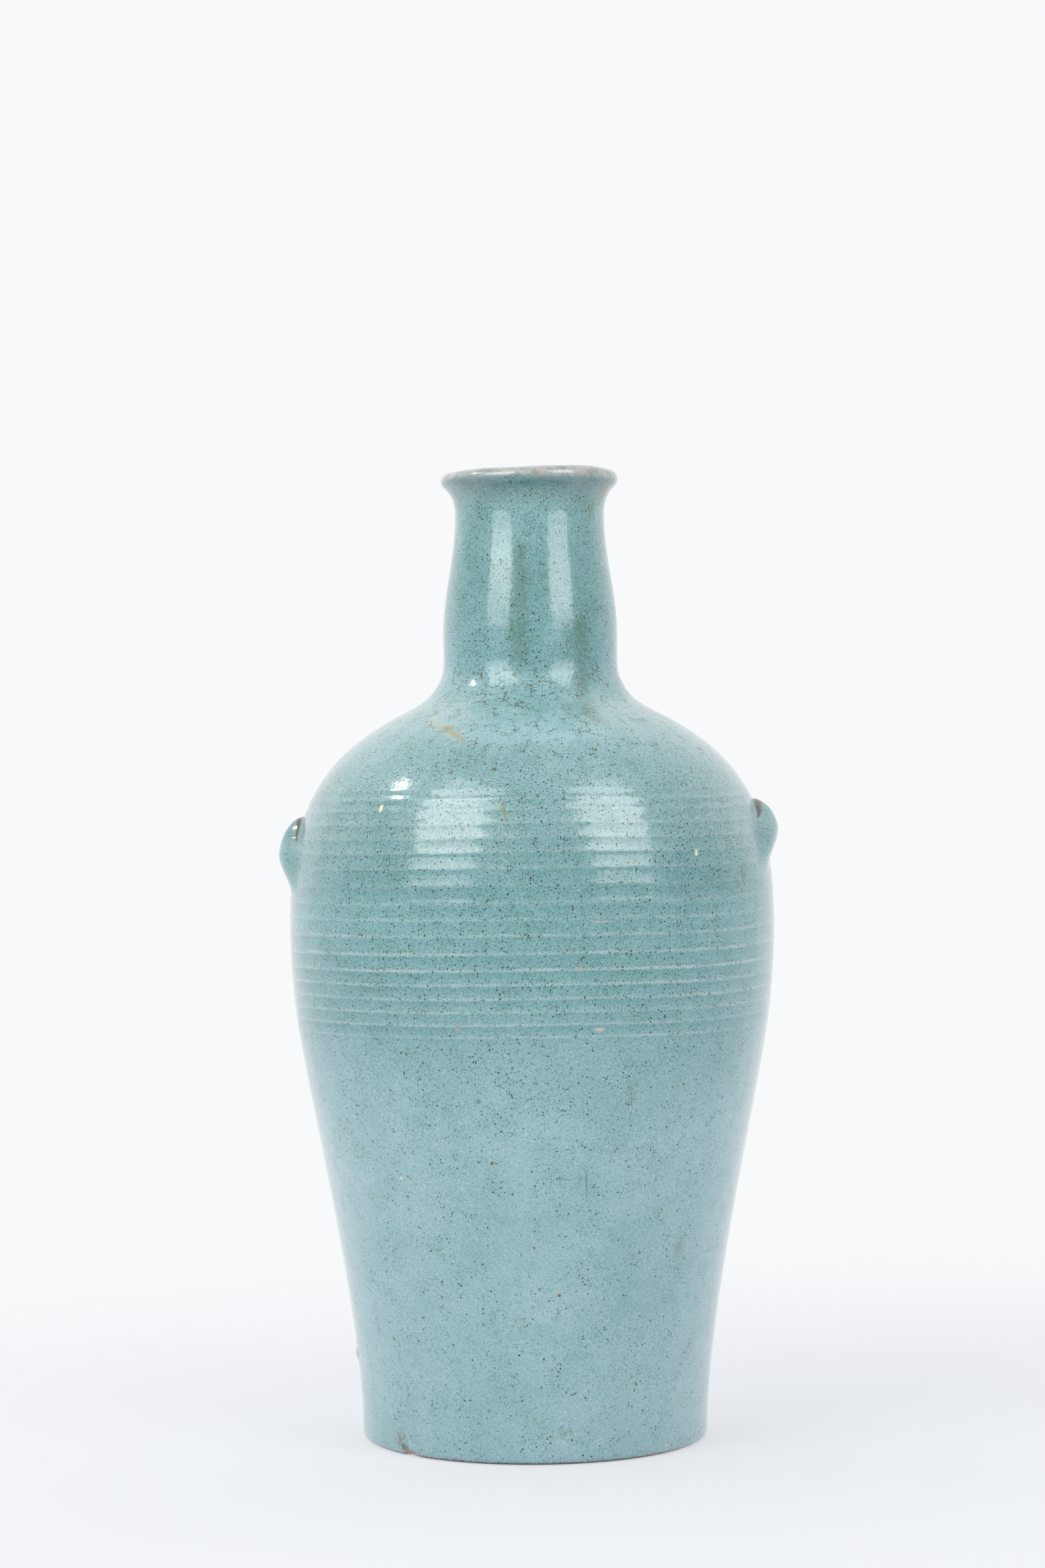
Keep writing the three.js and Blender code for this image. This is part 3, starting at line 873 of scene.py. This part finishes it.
class Glaze(Graph):
    """The glaze's node tree: a tone by height, clouds, ring colours, specks, crawled cracks and bare clay."""

    def __init__(self, name):
        self.material = bpy.data.materials.new(name)
        self.material.use_nodes = True
        super().__init__(self.material.node_tree)
        self.shader = self.tree.nodes["Principled BSDF"]
        place = self.add("ShaderNodeTexCoord").outputs["Object"]
        self.point = self.vector("MULTIPLY", place, (1.0 / MM,) * 3)
        self.height = self.add("ShaderNodeSeparateXYZ", {0: self.point}).outputs["Z"]
        self.height_share = self.math("DIVIDE", self.height, CROWN.z)
        self.grain = self.noise(GRAIN)
        self.colour = self.ramp(self.height_share, [(z / CROWN.z, srgb(*tone)) for z, tone in GLAZE_TONES])

    def level(self, stops):
        """A value by height."""
        return self.ramp(self.height_share, [(z / CROWN.z, (value, value, value, 1.0)) for z, value in stops])

    def mask(self, name):
        """A value that the mesh carries at its points."""
        return self.add("ShaderNodeAttribute", attribute_name=name).outputs["Fac"]

    def noise(self, pattern, output="Fac", point=None):
        """Cloudy values about 0.5, or cloudy colours."""
        inputs = {"Vector": point or self.point, "Scale": 1.0 / pattern.size}
        inputs |= {"Detail": pattern.detail, "Roughness": pattern.roughness}
        return self.add("ShaderNodeTexNoise", inputs).outputs[output]

    def tint(self, factor, colour):
        self.colour = self.mix(factor, self.colour, colour, "MULTIPLY")

    def cover(self, mask, strength, colour):
        self.colour = self.mix(self.times(mask, strength), self.colour, colour)

    def clouds(self):
        """Patches where the glaze lies thick and deep or thin and pale, and a fine grain in it."""
        for pattern, strength in ((BROAD_PATCHES, BROAD_STRENGTH), (CLOUDS, self.level(CLOUD_LEVELS))):
            patch = self.noise(pattern)
            self.tint(self.fade(patch, *THICK_FADE, 0.0, strength), THICK_TINT)
            self.tint(self.fade(patch, *THIN_FADE, 0.0, strength), THIN_TINT)
        level = self.level(GRAIN_LEVELS)
        for limits, colour in ((GRAIN_DEEP_FADE, GRAIN_DEEP), (GRAIN_PALE_FADE, GRAIN_PALE)):
            self.tint(self.times(self.fade(self.grain, *limits), level), colour)

    def rings(self):
        """Pale thin glaze on the crests, and below each of them a deep band where the glaze has run together,
        darkened further with painted shade.
        """
        turn = self.math("ARCTAN2", self.mask("ring_sin"), self.mask("ring_cos"))
        phase = self.math("DIVIDE", turn, 2 * math.pi)
        level = self.times(self.mask("ring_level"), self.fade(self.height, *RINGS_WEAKEN))
        drop = self.math("FRACT", self.math("SUBTRACT", 1.0, phase))
        band = self.times(self.fade(drop, *BAND_BEGINS), self.fade(drop, *BAND_ENDS))
        self.tint(self.times(band, level), RING_SHADE_TINT)
        long_point = self.vector("MULTIPLY", self.point, CREST_BREAK_STRETCH)
        broken = self.fade(self.noise(CREST_BREAKS, point=long_point), *CREST_BREAK_FADE)
        crest = self.times(self.fade(self.math("ABSOLUTE", phase), *CREST_FADE), level)
        self.cover(self.times(crest, broken), CREST_COVER, CREST_PALE)

    def sprinkle(self, speckle, share):
        """Round specks of one colour in a share of their cells. Returns their mask."""
        cells = self.add("ShaderNodeTexVoronoi", {"Vector": self.point, "Scale": 1.0 / speckle.cell})
        chance = self.add("ShaderNodeSeparateColor", {0: cells.outputs["Color"]}).outputs
        limit = speckle.radius / speckle.cell
        growth = self.math("POWER", chance[1], SPECK_RARITY)
        radius = self.math("MULTIPLY_ADD", growth, SPECK_GROWTH * limit, SPECK_SMALLEST * limit)
        inside = self.math("SUBTRACT", radius, cells.outputs["Distance"])
        specks = self.math("DIVIDE", inside, SPECK_EDGE * limit, clamp=True)
        mask = self.times(specks, self.math("LESS_THAN", chance[0], share))
        self.cover(mask, speckle.strength, speckle.colour)
        return mask

    def specks(self, density):
        """Fine specks of several sizes and colours, gathered in patches where they are sparse. Returns the
        mask of the largest dark ones."""
        patches = self.fade(self.noise(SPECK_PATCHES), *SPECK_PATCH_FADE)
        self.tint(self.times(patches, SPECK_GREENING), GREEN_TINT)
        level = self.times(self.level(SPECK_LEVELS), density)
        between = self.math("SUBTRACT", level, SPECK_THINNING)
        gathered = self.math("MAXIMUM", self.times(level, patches), between)
        for speckle in SPECKLES:
            mask = self.sprinkle(speckle, self.times(gathered, speckle.share))
        for fleck in FLECKS:
            self.sprinkle(fleck, fleck.share)
        return mask

    def lip(self):
        """Thin glaze on the lip's crown, where the clay shows through, painted pale with a highlight as well.
        """
        worn = self.fade(self.noise(LIP_PALE_PATCHES), *LIP_PALE_FADE)
        self.cover(self.times(worn, self.fade(self.height, *LIP_HEIGHTS)), LIP_COVER, LIP_THIN_AND_HIGHLIGHT)

    def marks(self, marks):
        """The single marks of the front, with uneven edges."""
        crumble = self.math("SUBTRACT", self.noise(MARK_CRUMBLE), 0.5)
        for mark in marks:
            distance = self.spot_distance(mark) if isinstance(mark, Spot) else self.streak_distance(mark)
            uneven = self.math("MULTIPLY_ADD", crumble, mark.ragged, distance)
            self.cover(self.fade(uneven, 1.0 + mark.soft, 1.0 - mark.soft), mark.strength, mark.colour)

    def spot_distance(self, spot):
        """Distance from a spot's middle, in half widths and half heights."""
        inputs = {
            "Vector": self.point,
            "Location": on_wall(spot.turn, spot.z),
            "Rotation": (0.0, 0.0, math.radians(spot.turn)),
            "Scale": (spot.half_width, MARK_DEPTH, spot.half_height),
        }
        return self.vector("LENGTH", self.add("ShaderNodeMapping", inputs, vector_type="TEXTURE").outputs[0])

    def streak_distance(self, streak):
        """Distance from a streak's middle line, in half widths."""
        start, end = (np.array(on_wall(*place)) for place in (streak.start, streak.end))
        run = end - start
        from_start = self.vector("SUBTRACT", self.point, tuple(start))
        along = self.vector("DOT_PRODUCT", from_start, tuple(run / np.dot(run, run)))
        share = self.math("MINIMUM", self.math("MAXIMUM", along, 0.0), 1.0)
        nearest = self.add("ShaderNodeVectorMath", {0: tuple(run), "Scale": share}, operation="SCALE")
        gap = self.vector("LENGTH", self.vector("SUBTRACT", from_start, nearest.outputs[0]))
        narrowing = -streak.taper * streak.half_width
        return self.math("DIVIDE", gap, self.math("MULTIPLY_ADD", share, narrowing, streak.half_width))

    def cracks(self):
        """Short brown cracks where the glaze has crawled, about the collar and here and there elsewhere.
        Returns their mask."""
        bend = self.noise(CRACK_BEND, "Color")
        shift = self.vector("MULTIPLY", bend, (CRACK_BEND_REACH,) * 3)
        bent = self.vector("MULTIPLY", self.vector("ADD", self.point, shift), CRACK_FLATTEN)
        inputs = {"Vector": bent, "Scale": 1.0 / CRACK_CELL}
        edge = self.add("ShaderNodeTexVoronoi", inputs, feature="DISTANCE_TO_EDGE").outputs["Distance"]
        limits = (CRACKS_BELOW_COLLAR, CRACKS_ABOVE_COLLAR)
        zone = self.times(*(self.fade(self.height, *heights) for heights in limits))
        chance = self.math("MULTIPLY_ADD", zone, CRACKS_RAISED, self.noise(CRACK_PLACES))
        mask = self.times(self.fade(edge, *CRACK_EDGE), self.fade(chance, *CRACK_PLACE_FADE))
        self.cover(mask, CRACK_COVER, CRAWL_BROWN)
        return mask

    def clay(self, clay, dark):
        """Bare clay where the wall is left unglazed, and a dark line along the edge of the foot: bare clay
        with a painted contact shadow. Returns the mask of both."""
        ragged_height = self.math("MULTIPLY_ADD", self.grain, FOOT_SHADOW_UNEVEN, self.height)
        foot_shadow_line = self.fade(ragged_height, *FOOT_SHADOW_FADE)
        self.cover(foot_shadow_line, FOOT_SHADOW_COVER, FOOT_SHADOW_LINE)
        rough_edge = self.math("MULTIPLY_ADD", self.grain, BARE_UNEVEN, self.mask("bare"))
        unglazed = self.fade(rough_edge, *BARE_FADE)
        mottle = self.fade(self.noise(CLAY_MOTTLE), *CLAY_MOTTLE_FADE)
        self.colour = self.mix(unglazed, self.colour, self.mix(mottle, clay, dark))
        return self.math("MAXIMUM", unglazed, foot_shadow_line)

    def relief(self, pits):
        """Normals of the small ripples, dimples and pits of the surface."""
        ripples = self.times(self.noise(RIPPLES), RIPPLE_HEIGHT)
        dimples = self.times(self.noise(DIMPLES), DIMPLE_HEIGHT)
        peel = self.math("MULTIPLY_ADD", self.grain, PEEL_HEIGHT, dimples)
        hollows = self.times(pits, -PIT_DEPTH)
        height = self.math("ADD", self.math("ADD", ripples, peel), hollows)
        inputs = {"Height": self.times(height, MM), "Distance": 1.0, "Strength": BUMP_STRENGTH}
        return self.add("ShaderNodeBump", inputs).outputs["Normal"]

    def surface(self, pits, clay):
        """The shader: a hazy gloss, rougher on bare clay, under a clear coat."""
        sheen = self.fade(self.noise(SHEEN), *SHEEN_FADE)
        gloss = self.math("ADD", self.level(ROUGH_LEVELS), sheen)
        normal = self.relief(pits)
        inputs = {
            "Base Color": self.colour,
            "Roughness": self.math("MAXIMUM", gloss, self.times(clay, CLAY_ROUGHNESS)),
            "IOR": GLAZE_IOR,
            "Normal": normal,
            "Coat Weight": 1.0,
            "Coat Roughness": COAT_ROUGHNESS,
            "Coat IOR": GLAZE_IOR,
            "Coat Normal": normal,
        }
        for name, value in inputs.items():
            self.feed(self.shader.inputs[name], value)


def glaze(name, marks=(), density=1.0, clays=(CLAY, CLAY_DARK)):
    """Glossy turquoise glaze for one of the record's slots."""
    coat = Glaze(name)
    coat.clouds()
    coat.rings()
    coat.marks([mark for mark in marks if mark.soft >= IN_GLAZE])
    pits = coat.specks(density)
    cracks = coat.cracks()
    coat.lip()
    coat.marks([mark for mark in marks if mark.soft < IN_GLAZE])
    clay = coat.clay(*clays)
    coat.surface(coat.math("MAXIMUM", pits, cracks), clay)
    return coat.material


# One glaze for each slot. The lugs are less speckled, and their bare clay is darker, with the painted shade
# of their grooves.
LUG_SPECKS = 0.5
GLAZES = {
    "lower_glaze": glaze("lower_glaze", LOWER_MARKS),
    "upper_glaze": glaze("upper_glaze", UPPER_MARKS),
    "neck_glaze": glaze("neck_glaze", NECK_MARKS),
    "lug_glaze": glaze("lug_glaze", density=LUG_SPECKS, clays=(SHADED_LUG_CLAY, SHADED_LUG_CLAY_DARK)),
}

# The thrown pieces, each closed by the flat rims where it is luted to its neighbour: its name, slot and node,
# and the stretches where its rows start and end, outside and then inside.
THROWN_PIECES = [
    ("glazed_lower_body", "lower_glaze", "lower_body", ["base", "belly_lute", "floor", "end"]),
    ("glazed_belly_joint", "upper_glaze", "belly_lute",
     ["belly_lute", "belly_wall", "inner_belly_lute", "floor"]),
    ("glazed_upper_body", "upper_glaze", "upper_body",
     ["belly_wall", "neck_lute", "inner_collar_wall", "inner_belly_lute"]),
    ("glazed_neck_joint", "neck_glaze", "neck_lute",
     ["neck_lute", "neck_swell", "inner_neck_lute", "inner_collar_wall"]),
    ("glazed_neck", "neck_glaze", "neck", ["neck_swell", "inner_neck_lute"]),
]
for piece_name, piece_slot, node, limits in THROWN_PIECES:
    turned_piece(piece_name, rows_between(limits), piece_slot, node)
for lug, node in ((LEFT_LUG, "left_lug"), (RIGHT_LUG, "right_lug")):
    lug_points, lug_faces, lug_masks = lug_mesh(lug)
    add_piece(lug.name, lug_points, lug_faces, lug_masks, "lug_glaze", node)

# Studio: a pale floor that fades into a white backdrop, with a painted shadow near the bottle, two soft
# panels in front, a small lamp on the left, and a surround that is dim in front and bright behind. Each lamp
# is dimmer towards its top and bottom.
BACKDROP = srgb(248, 249, 251)
FLOOR_COLOUR = srgb(236, 237, 241)
FLOOR_HALF = 6.0
# The floor's glow is darker about a point in front of the bottle and to its right: a painted shadow.
FLOOR_SHADOW_CENTRE = (0.14, -0.16, 0.0)
FLOOR_SHADOW_GLOW = srgb(224, 227, 232)
FLOOR_FADE = (0.12, 0.65)
FLOOR_GLOW = 0.72
AMBIENT_FRONT = 0.40
AMBIENT_BACK = 1.65
AMBIENT_LEFT = 0.18
AMBIENT_TURN = (-0.1, 0.7)
AMBIENT_LEFT_TURN = (0.2, -0.8)
GLOSS_FRONT = 0.35
GLOSS_TURN = (-0.2, 0.7)
PANEL_DISTANCE = 1.17
PANEL_SIZE = (0.66, 1.17)
PANEL_TURN = math.radians(44.0)
PANEL_RISE = math.radians(31.4)
PANEL_TARGET = Vector((0.0, 0.0, 0.28))
LEFT_RADIANCE = 3.8
RIGHT_RADIANCE = 3.4
PANEL_MIDDLE = 1.25
PANEL_EDGE = 0.64
PANEL_DIMS = (0.05, 0.5)
LAMP_TURN = math.radians(-92.5)
LAMP_RISE = math.radians(41.5)
LAMP_DISTANCE = 1.2
LAMP_SIZE = 0.12
LAMP_RADIANCE = 32.0


def seen_rays(graph):
    """1 for the rays that show the backdrop: seen directly, mirrored or through glass."""
    path = graph.add("ShaderNodeLightPath").outputs
    mirrored = graph.math("MAXIMUM", path["Is Glossy Ray"], path["Is Transmission Ray"])
    return graph.math("MAXIMUM", path["Is Camera Ray"], mirrored)


def make_world():
    """The surround that lights the bottle, and the backdrop that is seen or mirrored in its place."""
    world = bpy.data.worlds.new("studio")
    bpy.context.scene.world = world
    world.use_nodes = True
    graph = Graph(world.node_tree)
    graph.tree.nodes.clear()
    direction = graph.add("ShaderNodeTexCoord").outputs["Generated"]
    axes = graph.add("ShaderNodeSeparateXYZ", {0: direction}).outputs
    behind = graph.fade(axes["Y"], *AMBIENT_TURN, AMBIENT_FRONT, AMBIENT_BACK)
    level = graph.math("ADD", behind, graph.fade(axes["X"], *AMBIENT_LEFT_TURN, 0.0, AMBIENT_LEFT))
    around = graph.add("ShaderNodeBackground", {"Color": (1.0, 1.0, 1.0, 1.0), "Strength": level})
    seen_directly = graph.add("ShaderNodeLightPath").outputs["Is Camera Ray"]
    mirrored_level = graph.fade(axes["Y"], *GLOSS_TURN, GLOSS_FRONT, 1.0)
    seen_level = graph.math("MAXIMUM", seen_directly, mirrored_level)
    backdrop = graph.add("ShaderNodeBackground", {"Color": BACKDROP, "Strength": seen_level})
    shaders = {0: seen_rays(graph), 1: around.outputs[0], 2: backdrop.outputs[0]}
    mixed = graph.add("ShaderNodeMixShader", shaders)
    graph.add("ShaderNodeOutputWorld", {"Surface": mixed.outputs[0]})


def make_floor():
    """A matte floor near the bottle, which glows like the backdrop further out. Near the bottle the glow is
    darker about a point in front of it and to its right: a painted shadow.
    """
    material = bpy.data.materials.new("pale_floor")
    material.use_nodes = True
    graph = Graph(material.node_tree)
    graph.tree.nodes.clear()
    place = graph.add("ShaderNodeTexCoord").outputs["Object"]
    distance = graph.vector("DISTANCE", place, FLOOR_SHADOW_CENTRE)
    far = graph.fade(distance, *FLOOR_FADE)
    glow = graph.fade(distance, *FLOOR_FADE, FLOOR_GLOW, 1.0)
    matte = graph.add("ShaderNodeBsdfDiffuse", {"Color": FLOOR_COLOUR})
    glow_colour = graph.mix(far, FLOOR_SHADOW_GLOW, BACKDROP)
    backdrop = graph.add("ShaderNodeEmission", {"Color": glow_colour, "Strength": 1.0})
    glowing = graph.times(glow, seen_rays(graph))
    shaders = {0: glowing, 1: matte.outputs[0], 2: backdrop.outputs[0]}
    mixed = graph.add("ShaderNodeMixShader", shaders)
    graph.add("ShaderNodeOutputMaterial", {"Surface": mixed.outputs[0]})
    mesh = bpy.data.meshes.new("studio_floor")
    corners = [(FLOOR_HALF * x, FLOOR_HALF * y, 0.0) for x, y in ((-1, -1), (1, -1), (1, 1), (-1, 1))]
    mesh.from_pydata(corners, [], [(0, 1, 2, 3)])
    mesh.materials.append(material)
    floor = new_object("studio_floor", mesh)


def make_lamp(name, turn, rise, distance, size, radiance):
    """A flat lamp that faces the bottle from a direction, hidden from the camera."""
    lamp = bpy.data.lights.new(name, "AREA")
    lamp.shape = "RECTANGLE"
    lamp.size, lamp.size_y = size
    lamp.energy = radiance * math.pi * size[0] * size[1]
    lamp.use_nodes = True
    graph = Graph(lamp.node_tree)
    place = graph.add("ShaderNodeNewGeometry").outputs["Parametric"]
    up = graph.add("ShaderNodeSeparateXYZ", {0: place}).outputs["Y"]
    from_middle = graph.math("ABSOLUTE", graph.math("SUBTRACT", up, 0.5))
    strength = graph.fade(from_middle, *PANEL_DIMS, PANEL_MIDDLE, PANEL_EDGE)
    graph.feed(graph.tree.nodes["Emission"].inputs["Strength"], strength)
    holder = new_object(name, lamp)
    away = Vector((math.sin(turn) * math.cos(rise), -math.cos(turn) * math.cos(rise), math.sin(rise)))
    holder.location = PANEL_TARGET + away * distance
    holder.rotation_euler = away.to_track_quat("Z", "Y").to_euler()
    holder.visible_camera = False


# Camera of the photograph, whose frame is 1568 by 2353 pixels: its place, its pitch and its small roll.
PHOTO_HEIGHT = 2353
FOCAL_PIXELS = 5420
SENSOR = 36.0
CAMERA_PLACE = Vector((-0.0030, -1.239, 0.229))
CAMERA_PITCH = math.radians(-0.28)
CAMERA_ROLL = math.radians(-0.39)


def make_camera():
    camera = bpy.data.cameras.new("photo_camera")
    camera.sensor_width = SENSOR
    camera.lens = FOCAL_PIXELS / PHOTO_HEIGHT * SENSOR
    eye = new_object("photo_camera", camera)
    turn = Matrix.Rotation(math.pi / 2 + CAMERA_PITCH, 4, "X") @ Matrix.Rotation(CAMERA_ROLL, 4, "Z")
    eye.matrix_world = Matrix.Translation(CAMERA_PLACE) @ turn
    bpy.context.scene.camera = eye


make_world()
make_floor()
make_lamp("left_panel", -PANEL_TURN, PANEL_RISE, PANEL_DISTANCE, PANEL_SIZE, LEFT_RADIANCE)
make_lamp("right_panel", PANEL_TURN, PANEL_RISE, PANEL_DISTANCE, PANEL_SIZE, RIGHT_RADIANCE)
make_lamp("small_lamp", LAMP_TURN, LAMP_RISE, LAMP_DISTANCE, (LAMP_SIZE, LAMP_SIZE), LAMP_RADIANCE)
make_camera()
bpy.context.scene.view_settings.view_transform = "Standard"
